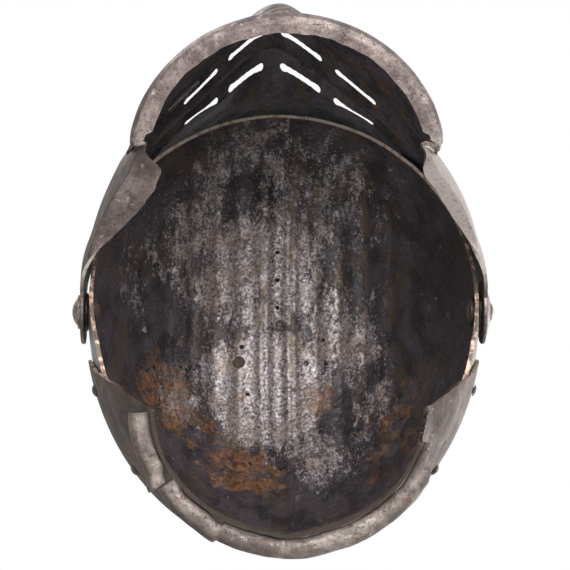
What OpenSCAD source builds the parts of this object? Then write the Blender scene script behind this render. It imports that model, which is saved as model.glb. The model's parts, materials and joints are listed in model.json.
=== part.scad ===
// Fluted close helmet with a bellows visor on side pivots, stood on its neck rim and visor lip.
// Wearer's face looks along -Y, the wearer's left hand is +X, and up is +Z. Sizes in millimetres.

/* [Skull] */
// Width of the skull over the ears
skull_w = 206; // [196:1:216]
// Length of the skull from front to back at the height of the pivots
skull_len = 250; // [240:1:262]
// Height of the crown above the pivots
crown_h = 127; // [118:1:134]
// Thickness of the skull plate
skull_t = 2; // [1.6:0.1:2.4]
// Height of the brow edge above the pivots
brow_h = 62; // [54:1:68]
// Height of the rear edge of the skull below the pivots
rear_drop = 46; // [40:1:50]
// Distance of the ear tips of the skull behind the pivots
ear_back = 27; // [22:1:32]
// Distance of the ear tips of the skull below the pivots
ear_drop = 47; // [42:1:52]
// Distance at which the ear tips are cut off straight, measured along their edges
ear_cut = 15; // [10:1:20]

/* [Fluting] */
// Number of flutes on each side of the comb
flute_count = 5; // [3:1:6]
// Distance between two flute ridges
flute_pitch = 14.2; // [12:0.2:16]
// Height of a flute ridge over the plate
flute_h = 2.2; // [1:0.1:3]
// Height of the comb over the plate
comb_h = 3; // [1.5:0.1:3.4]
// Half the width of the comb and the grooves beside it
comb_half = 9; // [7:0.5:11]

/* [Visor] */
// Radius of the upper visor about the pivots, outside
visor_r = 135.4; // [134.6:0.2:140]
// Reach of the upper slotted fold ahead of the pivots
sight_reach = 147; // [142:1:150]
// Step from the upper slotted fold out to the nose fold
nose_step = 18.5; // [14:0.5:22]
// Half the width of the face box
box_half = 80; // [77:1:84]
// Thickness of the visor plate
visor_t = 1.8; // [1.4:0.1:2.2]
// Height of the top edge over the pivots, as an angle ahead of upright
top_angle = 40; // [36:1:44]
// Depth of the visor lip below the pivots
lip_drop = 78; // [72:1:84]
// Reach of the lip ahead of the pivots
lip_reach = 150; // [145:1:154]
// Width of the border that turns under along the lip
lip_turn = 11; // [6:1:14]
// Width of the turned border on the arm at the wearer's right
arm_turn_right = 17; // [4:1:20]
// Width of the turned border on the arm at the wearer's left
arm_turn_left = 8; // [4:1:20]
// Number of small folds below the nose fold
small_folds = 3; // [2:1:4]
// Depth of a small fold
fold_depth = 4; // [2:0.5:5]

/* [Slots] */
// Length of a slot across the face
slot_len = 20.5; // [16:0.5:21.5]
// Width of a slot
slot_w = 2.6; // [2.4:0.2:5.4]
// Distance of the inner slots from the middle
slot_in = 4.5; // [4:0.5:8]
// Bridge between two slots of one row
slot_bridge = 6.5; // [5:0.5:10]

/* [Nape] */
// Thickness of the nape plate
nape_t = 1.8; // [1.4:0.1:2.2]
// Depth of the neck edge below the pivots
neck_drop = 103; // [98:1:108]
// Half the width of the neck opening
neck_half = 67.5; // [60:1:70]
// Reach of the neck opening behind the pivots
neck_back = 107; // [102:1:110]
// Distance of the front ends of the neck rim behind the pivots
neck_front = 46; // [42:1:52]
// Outer radius of the hollow neck rim
rim_r = 5.2; // [4:0.1:6]
// Thickness of the sheet of the neck rim
rim_t = 1.3; // [1:0.1:1.6]

/* [Pivots] */
// Radius of the pivot pins
pin_r = 3.4; // [3:0.1:4]
// Radius of the round arm ends
arm_end_r = 17; // [14:1:19]
// Radius of the pivot head at the wearer's right
head_r = 9; // [7:0.5:11]
// Radius of the domed rosette at the wearer's left
rosette_r = 13.5; // [10:0.5:15]

/* [Holes and rivets] */
// Distance between the crest holes
crest_pitch = 16; // [12:1:20]
// Radius of a crest hole
crest_hole_r = 1.3; // [1:0.1:2]
// Radius of a lining hole
lining_hole_r = 1.2; // [0.8:0.1:1.6]
// Radius of the plug in the crown
plug_r = 3.4; // [2.5:0.1:4]
// Radius of the rivets
rivet_r = 1.6; // [1.2:0.1:2]
// Radius of the rivet heads
rivet_head_r = 3.4; // [2.6:0.1:4]

/* [Catch] */
// Distance of the catch stud from the middle of the face
catch_x = 50; // [46:0.5:50.5]
// Height of the catch above the pivots
catch_z = 19; // [17:0.5:20]
// Radius of the catch stud
stud_r = 2; // [1.6:0.1:2.2]
// Reach of the stud outside the wall
stud_out = 3.6; // [2.5:0.1:5]

/* [Hidden] */

// Height of the nose fold above the pivots
fold_rise = 27;
// Gap between two plates that lie on each other
lap_gap = 0.4;
// Radial clearance of the pins in their bores
run_gap = 0.05;
// Room of the catch stud in its hole
stud_gap = 0.7;
// Height of the keel down the middle of the nape plate
nape_keel = 1.4;
// Reach of a cut past the middle of the plate it goes through, enough for the flutes on it
cut = 3 * (skull_t + flute_h);
half_w = skull_w / 2;
half_l = skull_len / 2;
nose_reach = sight_reach + nose_step;

// Outward normal of the skull at a point given as a share of its three half sizes
function skull_normal(q) = let (n = [q.x / half_w, q.y / half_l, q.z / crown_h]) n / norm(n);
function skull_point(q, lift) =
    [q.x * half_w, q.y * half_l, q.z * crown_h] + lift * skull_normal(q);

// The head frame has the pivots at its origin. It is leaned until the lip and the neck rim
// both touch the ground, and the ground then lies at zero, under the middle of the whole.
turn_low = 0.55;
rim_nose = 2;
lip_low = [lip_reach - turn_low * lip_turn, -lip_drop];
rim_low = [neck_front + rim_nose, -neck_drop + rim_r / 2];
lean_arm = [lip_low.x + rim_low.x, rim_low.y - lip_low.y];
lean = asin(rim_r / norm(lean_arm)) + atan2(-lean_arm.y, lean_arm.x);
ground = -lip_low.x * sin(lean) + lip_low.y * cos(lean);
front_end = -nose_reach * cos(lean) - fold_rise * sin(lean);
rear_end = (neck_back + nape_keel + lap_gap + rim_r) * cos(lean) - rim_low.y * sin(lean) + rim_r;
module stand() {
    translate([0, -(front_end + rear_end) / 2, -ground]) rotate([lean, 0, 0]) children();
}
function smooth(t) = let (c = max(0, min(1, t))) c * c * (3 - 2 * c);
function mix(a, b, t) = a + (b - a) * t;

// A plate of even thickness between two matching grids of points. Cells named by gap stay open.
module plate(outside, inside, gap = function(i, j) false) {
    rows = len(outside) - 1;
    cols = len(outside[0]) - 1;
    count = (rows + 1) * (cols + 1);
    id = function(side, i, j) side * count + i * (cols + 1) + j;
    kept = function(i, j) i >= 0 && i < rows && j >= 0 && j < cols && !gap(i, j);
    quad = function(a, b, c, d) [[a, c, b], [a, d, c]];
    wall = function(a, b) quad(a, b, b + count, a + count);
    faces = [
        for (i = [0:rows - 1], j = [0:cols - 1]) if (kept(i, j)) each concat(
            quad(id(0, i, j), id(0, i, j + 1), id(0, i + 1, j + 1), id(0, i + 1, j)),
            quad(id(1, i, j), id(1, i + 1, j), id(1, i + 1, j + 1), id(1, i, j + 1)),
            kept(i - 1, j) ? [] : wall(id(0, i, j + 1), id(0, i, j)),
            kept(i + 1, j) ? [] : wall(id(0, i + 1, j), id(0, i + 1, j + 1)),
            kept(i, j - 1) ? [] : wall(id(0, i, j), id(0, i + 1, j)),
            kept(i, j + 1) ? [] : wall(id(0, i + 1, j + 1), id(0, i, j + 1)))];
    polyhedron([for (r = outside) each r, for (r = inside) each r], faces);
}

// The skull: a fan of arcs from ear tip to ear tip, swung from the brow over the crown to the nape
skull_rows = 22;
side_cols = 7;
flute_steps = 4;
fan = [ear_back / half_l, -ear_drop / crown_h];
brow_z = brow_h / crown_h;
rear_z = -rear_drop / crown_h;
fan_from = atan2(brow_z - fan.y, fan.x + sqrt(1 - brow_z * brow_z));
fan_to = atan2(rear_z - fan.y, fan.x - sqrt(1 - rear_z * rear_z));
flute_cols = flute_count * flute_steps;
comb_xs = [0, 0.35, 0.7, 1];
comb_rise = [1, 0.85, 0.05];
flute_fall = 0.5;
flute_ends = [0.86, 0.78];
last_col = len(comb_xs) - 1 + flute_cols + side_cols;
fluted_half = comb_half + flute_count * flute_pitch;
fan_mid = (fan_from + fan_to) / 2;

function flute_x(j) = j < len(comb_xs) ? comb_half * comb_xs[j]
    : comb_half + flute_pitch * (j - len(comb_xs) + 1) / flute_steps;
function flute_fade(u, k) = smooth((u - 0.04) / 0.09)
    * smooth((mix(flute_ends[0], flute_ends[1], k / last_col) - u) / 0.14);
function flute_draw(u) = 1 - 0.1 * pow(abs(2 * u - 0.9), 2);
function flute_rise(j) = j < len(comb_rise) ? comb_h * comb_rise[j]
    : j > len(comb_xs) - 1 + flute_cols ? 0
    : let (n = j - len(comb_xs) + 1, low = flute_fall * n / flute_cols)
        flute_h * (1 - low) * [1, 0.3, 0, 0.3][n % flute_steps];

// Point of the skull at share u of the swing and column j, lifted off the bare form
function skull_at(u, j, lift) =
    let (a = mix(fan_from, fan_to, u), e = [-cos(a), sin(a)],
         along = fan * e, foot = fan - along * e, r = sqrt(1 - foot * foot),
         ear = ear_cut / half_l * cos(fan_to - fan_mid) / cos(a - fan_mid),
         full = acos((along + ear) / r),
         k = abs(j), edge = min(full, asin(flute_draw(u) * fluted_half / half_w / r)),
         psi = k <= last_col - side_cols ? asin(flute_draw(u) * flute_x(k) / half_w / r)
             : mix(edge, full, (k - last_col + side_cols) / side_cols),
         yz = foot + e * r * cos(psi))
    skull_point([sign(j) * r * sin(psi), yz.x, yz.y], lift + flute_rise(k) * flute_fade(u, k));

// Place on the bare form of the skull, with the local Z along its outward normal
module on_skull(p) {
    n = skull_normal([p.x / half_w, p.y / half_l, p.z / crown_h]);
    translate(p) rotate([0, acos(n.z), atan2(n.y, n.x)]) children();
}
function crown_place(x, y) =
    [x, y, crown_h * sqrt(1 - pow(x / half_w, 2) - pow(y / half_l, 2))];
function side_place(side, y, z) =
    [side * half_w * sqrt(1 - pow(y / half_l, 2) - pow(z / crown_h, 2)), y, z];

// Pivot parts are turned on the axis through both ears, side 1 at the wearer's left
module on_pivot(side) {
    rotate([0, 90 * side, 0]) children();
}
module pivot_hole() {
    on_pivot(1) cylinder(h = 3 * half_w, r = pin_r + run_gap, center = true, $fn = 64);
}

// The crest holes stand square to the comb, the middle one this far ahead of the pivots
crest_ahead = 17;
rivet_places = [[40, -22], [80, -29], [110, -34]];
plug_mid = [-23, 31];
plug_place = crown_place(plug_mid.x, plug_mid.y);
lining_places = [[27, 18], [-21, 22], [-18, 50]];
module hole(r, facets = 24) {
    cylinder(h = 2 * cut, r = r, center = true, $fn = facets);
}

module skull() {
    rows = function(lift) [for (i = [0:skull_rows])
        [for (j = [-last_col:last_col]) skull_at(i / skull_rows, j, lift)]];
    color([0.36, 0.34, 0.33]) stand() difference() {
        plate(rows(0), rows(-skull_t));
        pivot_hole();
        on_skull(crown_place(0, -crest_ahead)) for (k = [-1:1])
            translate([k * crest_pitch, 0, 0]) hole(crest_hole_r);
        for (q = lining_places) on_skull(crown_place(q.x, q.y)) hole(lining_hole_r);
        on_skull(plug_place) hole(plug_r + run_gap, 32);
        nape_rivet_holes();
    }
}
module nape_rivet_holes() {
    for (side = [-1, 1], q = rivet_places) on_skull(side_place(side, q.x, q.y))
        hole(rivet_r + run_gap);
}

// The plug stands a little proud of the plate on both sides
plug_proud = 0.5;
module crown_plug() {
    color([0.3, 0.2, 0.14]) stand() on_skull(plug_place) translate([0, 0, -skull_t - plug_proud])
        cylinder(h = skull_t + flute_h + 2 * plug_proud, r = plug_r, $fn = 32);
}

// Inside grid of a plate: every point of the outside moved in by the thickness
function grid_normal(g, i, j) =
    let (m = len(g) - 1, n = len(g[0]) - 1,
         du = g[min(i + 1, m)][j] - g[max(i - 1, 0)][j],
         dv = g[i][min(j + 1, n)] - g[i][max(j - 1, 0)], c = cross(dv, du))
    c / norm(c);
function inside_of(g, t) = [for (i = [0:len(g) - 1])
    [for (j = [0:len(g[0]) - 1]) g[i][j] - t * grid_normal(g, i, j)]];

// The visor: rows run across the face from top edge to lip, then along both arms to the pivots
arm_rise = 3.4;
arm_half = half_w + arm_rise;
arm_blend = 26;
eye_sunk = 0.2;
eye_chord = [0.3, 0.8];
fold_bottom = 9;
band_top = -45;
lip_edge = -lip_drop + 5;
hug_steps = [0, 6.5, 13];
hug_end_share = 0.4;
fold_in = 2;
slot_a = 0.6;
slot_b = 0.34;
fold_a = visor_r * [-cos(top_angle - hug_steps[2]), sin(top_angle - hug_steps[2])];
fold_b = [-sight_reach, 49];
fold_c = [-sight_reach + 0.5, 39];
fold_d = [-nose_reach, fold_rise];
fold_e = [-nose_reach + 0.5, fold_bottom];
band = [-lip_reach - 3, band_top];
tread_slopes = [0.85, 0.88, 1.03];
slot_deep = slot_w / 2 * norm([1, tread_slopes[1]]);

// Middle profile of the visor from the first fold to the lip, each point with the slope of its row
// in plan and its share of the round plan of the lip
slot_share_a = slot_deep / (fold_a.x - fold_b.x);
slot_share_b = slot_deep / (fold_c.x - fold_d.x);
face_profile = concat(
    [for (t = [slot_a - slot_share_a, slot_a + slot_share_a])
        concat(mix(fold_a, fold_b, t), [tread_slopes[0], 0])],
    [concat(fold_b, [tread_slopes[1], 0]), concat(fold_c, [tread_slopes[1], 0])],
    [for (t = [slot_b - slot_share_b, slot_b + slot_share_b])
        concat(mix(fold_c, fold_d, t), [mix(tread_slopes[1], tread_slopes[2], t), 0])],
    [concat(fold_d, [tread_slopes[2], 0]), concat(fold_e, [tread_slopes[2], 0])],
    [for (k = [0:small_folds - 1], groove = [1, 0])
        let (t = (k + 1 - 0.62 * groove) / small_folds, q = mix(fold_e, band, t))
        [q.x + groove * fold_depth, q.y, 1, 0.7 * t]],
    [[-lip_reach - 1, mix(band_top, lip_edge, 0.32), 1, 0.85],
     [-lip_reach - 0.5, mix(band_top, lip_edge, 0.71), 1, 1],
     [-lip_reach, lip_edge, 1, 1]]);
turn_shares = [0.2, turn_low, 1];
turn_drops = [4, 5, 4.6];
hug_rows = len(hug_steps);
wall_rows = hug_rows + len(face_profile);
visor_rows = wall_rows + len(turn_shares);

box_corner = 0.8;
slot_start = slot_in + slot_len + slot_bridge;
slot_end = slot_start + slot_len;
slot_cells = 3;
face_xs = concat([0], [for (from = [slot_in, slot_start], k = [0:slot_cells])
        from + k * slot_len / slot_cells],
    [for (k = [1:5]) mix(slot_end, box_half - box_corner, k / 5)], [box_half]);
face_cols = len(face_xs);
arm_shares = [0, 0.12, 0.28, 0.45, 0.62, 0.8, 1];
arm_turns = [0, 0.65, 1, 0.92, 0.55, 0, 0];
half_cols = face_cols + len(arm_shares);

lip_centre = -75;
lip_half = box_half + 0.4;
lip_end_turn = 0.5;
apex_r = 10;

function arm_x(y, z) = let (r = norm([y, z]), t = smooth((r - arm_end_r - 2) / arm_blend))
    mix(eye_out - eye_sunk, arm_half * sqrt(max(0, 1 - pow(r / visor_r, 2))), t);
function vee(p, x) = p.x + p[2] * (sqrt(x * x + apex_r * apex_r) - apex_r);
function round_plan(reach, x) =
    lip_centre - (reach + lip_centre) * sqrt(1 - pow(x / lip_half, 2));
face_draw = 0.1;
function face_z(z, x) = z * (1 - face_draw * pow(x / box_half, z > 0 ? 4 : 2));

function hug_point(i, x) = let (r = hug_reach(x),
        a = top_angle - hug_steps[i] * mix(1, hug_end_share, smooth(x / box_half)))
    [x, -r * cos(a), r * sin(a)];
function hug_reach(x) = visor_r * sqrt(1 - pow(x / arm_half, 2));
function wall_point(p, x) = let (z = face_z(p.y, x), r = hug_reach(x) - fold_in)
    [x, min(mix(vee(p, x), round_plan(-p.x, x), p[3]), -sqrt(max(0, r * r - z * z))), z];
function turned_point(k, x, width) =
    let (w = width * turn_shares[k], s = (lip_half - w) / lip_half,
         q = wall_point(face_profile[len(face_profile) - 1], x))
    [q.x * s, lip_centre + (q.y - lip_centre) * (1 - w / (lip_reach + lip_centre)),
     q.z - turn_drops[k]];

function face_point(i, c) = let (x = face_xs[c])
    i < hug_rows ? hug_point(i, x)
    : i < wall_rows ? wall_point(face_profile[i - hug_rows], x)
    : turned_point(i - wall_rows, x, c < face_cols - 1 ? lip_turn : lip_end_turn);

// Start of the arm behind the face box, and the run back to its round end
arm_mid = hug_point(hug_rows - 1, box_half);
arm_low = [0, lip_centre - lip_reach / 15, face_z(lip_edge, box_half)];
function arm_start(i) = i < hug_rows ? hug_point(i, box_half + 2)
    : i < wall_rows ? let (z = face_z(face_profile[i - hug_rows].y, box_half),
        t = sqrt(max(0, (z - arm_mid.z) / (arm_low.z - arm_mid.z))))
        [0, mix(arm_mid.y + 1, arm_low.y, t), z]
    : [0, arm_low.y, arm_low.z - 1.5 * (i - wall_rows + 1)];
function arm_end(i) = arm_end_r * [0, -eye_chord.x, eye_chord.y * (1 - 2 * i / (visor_rows - 1))];
function arm_point(i, t, turn) =
    let (q = mix(arm_start(i), arm_end(i), t), k = i - wall_rows,
         w = k < 0 ? 0 : turn * turn_shares[k], f = min(1, turn / 4))
    [arm_x(q.y, q.z) - w, q.y, q.z + (k < 0 ? 0 : f * 1.2 * (k + 1) - f * w * 0.1)];

function visor_point(i, j) = let (c = abs(j), k = c - face_cols, side = j < 0 ? -1 : 1,
    turn = j < 0 ? arm_turn_right : arm_turn_left,
    q = k < 0 ? face_point(i, c) : arm_point(i, arm_shares[k], turn * arm_turns[k]))
    [side * q.x, q.y, q.z];

module visor() {
    outside = [for (i = [0:visor_rows - 1])
        [for (j = [half_cols - 1:-1:1 - half_cols]) visor_point(i, j)]];
    slot_rows = [hug_rows, hug_rows + 4];
    slotted = function(i, j) let (c = j < half_cols - 1 ? half_cols - 2 - j : j - half_cols + 1)
        (i == slot_rows[0] || i == slot_rows[1]) && c > 0 && c < 2 * slot_cells + 2
        && c % (slot_cells + 1) > 0;
    color([0.42, 0.4, 0.39]) stand() difference() {
        union() {
            plate(outside, inside_of(outside, visor_t), slotted);
            for (side = [-1, 1]) on_pivot(side) translate([0, 0, eye_face])
                cylinder(h = eye_t, r = arm_end_r, $fn = 64);
        }
        pivot_hole();
        catch_holes();
    }
}

// The nape plate laps over the skull behind the ears, draws in and ends upright at the neck
nape_cols = 36;
nape_top = -8;
nape_bend = -50;
nape_fronts = [24, 32];
nape_lift = lap_gap + nape_t;
neck_wall = 1.6 * rim_r;
nape_levels = concat([for (k = [0:4]) mix(nape_top, nape_bend, k / 4)],
    [for (k = [1:4]) mix(nape_bend, neck_wall - neck_drop, k / 4)], [-neck_drop]);

function neck_plan(v) = [neck_half * cos(180 * v),
    neck_front + (neck_back - neck_front) * sin(180 * v) + keel(v)];
function keel(v) = nape_keel * max(0, 1 - abs(v - 0.5) * nape_cols);
function nape_point(z, v) =
    let (zk = max(z, nape_bend), k = sqrt(1 - pow(zk / crown_h, 2)),
         front = mix(nape_fronts[0], nape_fronts[1], (nape_top - zk) / (nape_top - nape_bend)),
         f = asin(front / half_l / k), a = mix(f, 180 - f, v),
         upper = skull_point([k * cos(a), k * sin(a), zk / crown_h], nape_lift),
         low = neck_plan(v), t = smooth((nape_bend - z) / (neck_drop - neck_wall + nape_bend)))
    [mix(upper.x, low.x, t), mix(upper.y + keel(v), low.y, t),
     min(upper.z, z) + (z < nape_bend ? 0 : z - zk)];

module nape_plate() {
    outside = [for (z = nape_levels)
        [for (j = [nape_cols:-1:0]) nape_point(z, j / nape_cols)]];
    color([0.38, 0.35, 0.33]) stand() difference() {
        plate(outside, inside_of(outside, nape_t));
        nape_rivet_holes();
    }
}

// Hollow neck rim: a rolled channel, open above, that follows the foot of the nape plate outside it
rim_z = -neck_drop + rim_r / 2;
rim_angles = [150, 405];
rim_cols = 12;
rim_rear_share = [0.083, 0.806];
rim_right_share = [0.822, 0.994];
module rim(share, station_count) {
    beside = 1 / nape_cols;
    way = function(v) let (h = neck_plan(min(1, v + beside)) - neck_plan(max(0, v - beside)))
        [h.y, -h.x] / norm(h);
    ring = function(v, r) let (m = neck_plan(v) + (rim_r + lap_gap) * way(v))
        [for (k = [0:rim_cols]) let (a = mix(rim_angles[0], rim_angles[1], k / rim_cols),
            q = m + way(v) * r * cos(a)) [q.x, q.y, rim_z + r * sin(a)]];
    vs = [for (i = [0:station_count]) mix(share[1], share[0], i / station_count)];
    plate([for (v = vs) ring(v, rim_r)], [for (v = vs) ring(v, rim_r - rim_t)]);
}
module neck_rim_rear() { color([0.45, 0.42, 0.4]) stand() rim(rim_rear_share, 26); }
module neck_rim_right() { color([0.45, 0.42, 0.4]) stand() rim(rim_right_share, 7); }

// Rivets that join the nape plate to the skull, a domed head outside and a flat one inside
rivet_head_h = 1.6;
burred_h = 1.2;
burred_r = rivet_head_r - 0.5;
module nape_rivets(side) {
    seat_in = -skull_t - lap_gap;
    seat_out = nape_lift + lap_gap;
    for (q = rivet_places) on_skull(side_place(side, q.x, q.y)) {
        translate([0, 0, seat_in]) cylinder(h = seat_out - seat_in, r = rivet_r, $fn = 24);
        translate([0, 0, seat_out]) dome(rivet_head_r, rivet_head_h);
        translate([0, 0, seat_in - burred_h]) cylinder(h = burred_h, r = burred_r, $fn = 32);
    }
}
module nape_rivets_right() { color([0.33, 0.3, 0.28]) stand() nape_rivets(-1); }
module nape_rivets_left() { color([0.33, 0.3, 0.28]) stand() nape_rivets(1); }

// Low domed disc, flat face down
module dome(r, h) {
    ball = (r * r + h * h) / (2 * h);
    rim_angle = asin(r / ball);
    rotate_extrude($fn = 48) polygon(concat([[0, 0], [r, 0]],
        [for (k = [1:5]) let (a = rim_angle * (1 - k / 5))
            [ball * sin(a), ball * cos(a) - ball + h]]));
}

// Pivots: a burr inside the skull, a spacer, the arm end, then the head or the rosette
pivot_gap = 0.3;
burr_r = 8;
burr_t = 1.2;
burr_from = half_w - skull_t - 3 * pivot_gap - burr_t;
spacer_r = 10;
spacer_t = 1;
spacer_face = half_w + pivot_gap;
eye_t = 2.2;
eye_face = spacer_face + spacer_t + pivot_gap;
eye_out = eye_face + eye_t;
pivot_seat = eye_out + pivot_gap;
pivot_reach = 4.6;
inner_head = [pin_r + 2, 2];
head_step = 1.4;
head_slope = 1.2;
rosette_t = 1.3;
rosette_h = 3;
module ring_disc(side, x, t, r) {
    color([0.33, 0.3, 0.28]) stand() on_pivot(side) translate([0, 0, x]) difference() {
        cylinder(h = t, r = r, $fn = 64);
        hole(pin_r + run_gap, 48);
    }
}
module pin_shank(side, to) {
    on_pivot(side) translate([0, 0, burr_from]) {
        cylinder(h = to - burr_from, r = pin_r, $fn = 64);
        mirror([0, 0, 1]) dome(inner_head[0], inner_head[1]);
    }
}
module pivot_pin_right() {
    color([0.4, 0.36, 0.33]) stand() {
        pin_shank(-1, pivot_seat + head_step);
        on_pivot(-1) translate([0, 0, pivot_seat]) {
            cylinder(h = head_step, r = head_r, $fn = 64);
            translate([0, 0, head_step]) dome(head_r - head_slope, pivot_reach - head_step);
        }
    }
}
module pivot_pin_left() {
    color([0.4, 0.36, 0.33]) stand() {
        pin_shank(1, pivot_seat + rosette_h);
        on_pivot(1) translate([0, 0, pivot_seat + rosette_h])
            dome(pin_r + head_step, pivot_reach - rosette_h);
    }
}
module pivot_rosette_left() {
    ball = (rosette_r * rosette_r + rosette_h * rosette_h) / (2 * rosette_h);
    arc = function(drop) [for (k = [0:8]) let (x = mix(pin_r + run_gap, rosette_r, k / 8))
        [x, max(0, sqrt(ball * ball - x * x) - ball + rosette_h - drop)]];
    under = arc(rosette_t);
    color([0.46, 0.43, 0.4]) stand() on_pivot(1) translate([0, 0, pivot_seat])
        rotate_extrude($fn = 64) polygon(concat(arc(0), [for (k = [7:-1:0]) under[k]]));
}
module pivot_burr_right() { ring_disc(-1, burr_from, burr_t, burr_r); }
module pivot_burr_left() { ring_disc(1, burr_from, burr_t, burr_r); }
module spacer_washer_right() { ring_disc(-1, spacer_face, spacer_t, spacer_r); }
module spacer_washer_left() { ring_disc(1, spacer_face, spacer_t, spacer_r); }

// Spring catch inside the face box at the wearer's right: a leaf on one rivet carries a stud
// through the wall. Local X runs along the wall to the nose, local Y inward from its outer face.
function nose_wall(x) = let (low = wall_point(concat(fold_e, [tread_slopes[2], 0]), x),
    high = wall_point(concat(fold_d, [tread_slopes[2], 0]), x))
    mix(low.y, high.y, (catch_z - low.z) / (high.z - low.z));
catch_run = 12;
catch_slope = (nose_wall(catch_x + catch_run) - nose_wall(catch_x)) / catch_run;
module on_wall() {
    translate([-catch_x, nose_wall(catch_x), catch_z]) rotate([0, 0, -atan(catch_slope)]) children();
}
module on_wall_out(u, v) {
    translate([u, v, 0]) rotate([90, 0, 0]) children();
}
leaf_root = -16;
leaf_tail = leaf_root - 2.6;
leaf_flat = leaf_root + 3.5;
leaf_tip = 4;
leaf_gap = 0.3;
leaf_play = 0.4;
leaf_seat = visor_t + leaf_gap;
leaf_t = 1;
leaf_rise = 0.5;
leaf_h = 7;
stud_head = [stud_r + 1.2, 2];
stud_burr = [stud_r + 0.8, 0.7];
module catch_leaf() {
    line = [[leaf_tail, leaf_seat], [leaf_flat, leaf_seat], [leaf_tip, leaf_seat + leaf_rise]];
    back = [for (k = [2:-1:0]) line[k] + [0, leaf_t]];
    color([0.5, 0.46, 0.42]) stand() on_wall() difference() {
        translate([0, 0, -leaf_h / 2]) linear_extrude(height = leaf_h) polygon(concat(line, back));
        on_wall_out(0, leaf_seat) hole(stud_r + run_gap);
        on_wall_out(leaf_root, leaf_seat) hole(rivet_r + leaf_gap);
    }
}
module catch_stud() {
    inner = leaf_seat + leaf_rise + leaf_t;
    color([0.45, 0.36, 0.28]) stand() on_wall() {
        on_wall_out(0, inner) cylinder(h = inner + stud_out, r = stud_r, $fn = 32);
        on_wall_out(0, -stud_out) dome(stud_head[0], stud_head[1]);
        on_wall_out(0, inner) mirror([0, 0, 1]) dome(stud_burr[0], stud_burr[1]);
    }
}
module catch_rivet() {
    inner = leaf_seat + leaf_t + leaf_play;
    outer = leaf_gap + leaf_play;
    color([0.45, 0.36, 0.28]) stand() on_wall() {
        on_wall_out(leaf_root, inner) cylinder(h = inner + outer, r = rivet_r, $fn = 32);
        on_wall_out(leaf_root, -outer) dome(rivet_head_r, rivet_head_h);
        on_wall_out(leaf_root, inner) mirror([0, 0, 1]) dome(burred_r, burred_h / 2);
    }
}
module catch_holes() {
    on_wall() {
        on_wall_out(0, visor_t) hole(stud_r + stud_gap);
        on_wall_out(leaf_root, visor_t) hole(rivet_r + run_gap);
    }
}

skull();
crown_plug();
nape_plate();
neck_rim_rear();
neck_rim_right();
nape_rivets_right();
nape_rivets_left();
pivot_pin_right();
pivot_pin_left();
pivot_rosette_left();
pivot_burr_right();
pivot_burr_left();
spacer_washer_right();
spacer_washer_left();
visor();
catch_leaf();
catch_stud();
catch_rivet();
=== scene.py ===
import json
import math

import bpy
import numpy as np
from mathutils import Matrix, Vector


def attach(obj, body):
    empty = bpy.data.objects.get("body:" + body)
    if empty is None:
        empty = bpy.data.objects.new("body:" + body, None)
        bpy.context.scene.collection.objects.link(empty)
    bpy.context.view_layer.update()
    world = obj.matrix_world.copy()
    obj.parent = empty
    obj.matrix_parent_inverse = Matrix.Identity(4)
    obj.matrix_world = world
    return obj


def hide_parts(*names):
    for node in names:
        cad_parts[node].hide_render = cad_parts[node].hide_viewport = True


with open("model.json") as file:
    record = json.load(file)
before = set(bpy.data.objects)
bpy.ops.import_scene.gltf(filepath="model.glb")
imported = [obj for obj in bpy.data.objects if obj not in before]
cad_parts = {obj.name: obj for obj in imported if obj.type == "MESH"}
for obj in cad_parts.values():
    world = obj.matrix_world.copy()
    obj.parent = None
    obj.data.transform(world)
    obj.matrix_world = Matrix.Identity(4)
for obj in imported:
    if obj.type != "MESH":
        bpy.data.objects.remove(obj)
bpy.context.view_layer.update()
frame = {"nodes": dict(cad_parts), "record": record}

# The studio. The helmet stands on a pale floor, and the photograph looks up into it from below
# the neck, square to its own base line. The floor shows only from above, so that soft light
# reaches the bowl through it, and the helmet still leaves its shadow there.
def linear(hex_colour):
    """The sRGB hex colour as linear red, green, blue and alpha: each channel by the sRGB curve."""
    channels = [int(hex_colour[k:k + 2], 16) / 255 for k in (0, 2, 4)]
    return [c / 12.92 if c <= 0.04045 else ((c + 0.055) / 1.055) ** 2.4 for c in channels] + [1]


def add(tree, kind, links=None, **settings):
    """Adds a node of that kind, sets its attributes, and fills its inputs with values or joins them
    to sockets."""
    node = tree.nodes.new(kind)
    for name, value in settings.items():
        setattr(node, name, value)
    for name, value in (links or {}).items():
        socket = node.inputs[name]
        if isinstance(value, bpy.types.NodeSocket):
            tree.links.new(value, socket)
        else:
            socket.default_value = value
    return node


visor_joint = frame["record"]["behaviour"]["joints"][0]
pivot = np.array(visor_joint["pos_m"])
catch_joint = frame["record"]["behaviour"]["joints"][1]
lean = math.atan2(-catch_joint["axis"][1], catch_joint["axis"][2])


def stood(points):
    """Points of the head frame, in millimetres with the pivots at the origin, turned by the lean
    about the pivot line and moved to the pivots: the place in the row frame, in metres."""
    c, s = math.cos(lean), math.sin(lean)
    turn = np.array([[1, 0, 0], [0, c, -s], [0, s, c]])
    return pivot + np.asarray(points, float) @ turn.T / 1000


eye = stood([-34, -14.3, -1200])
aim = stood([0.8, -14.3, 0])
brow_side = stood([0, -1000, 0]) - stood([0, 0, 0])
look = Vector(aim - eye).normalized()
right = look.cross(Vector(brow_side)).normalized()
up = right.cross(look)
camera = bpy.data.objects.new("camera", bpy.data.cameras.new("camera"))
bpy.context.scene.collection.objects.link(camera)
camera.matrix_world = Matrix.Translation(eye) @ Matrix([
    [right[k], up[k], -look[k]] for k in range(3)]).to_4x4()
camera.data.lens = 143
camera.data.sensor_width = 36
camera.data.clip_end = 20
bpy.context.scene.camera = camera

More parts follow.
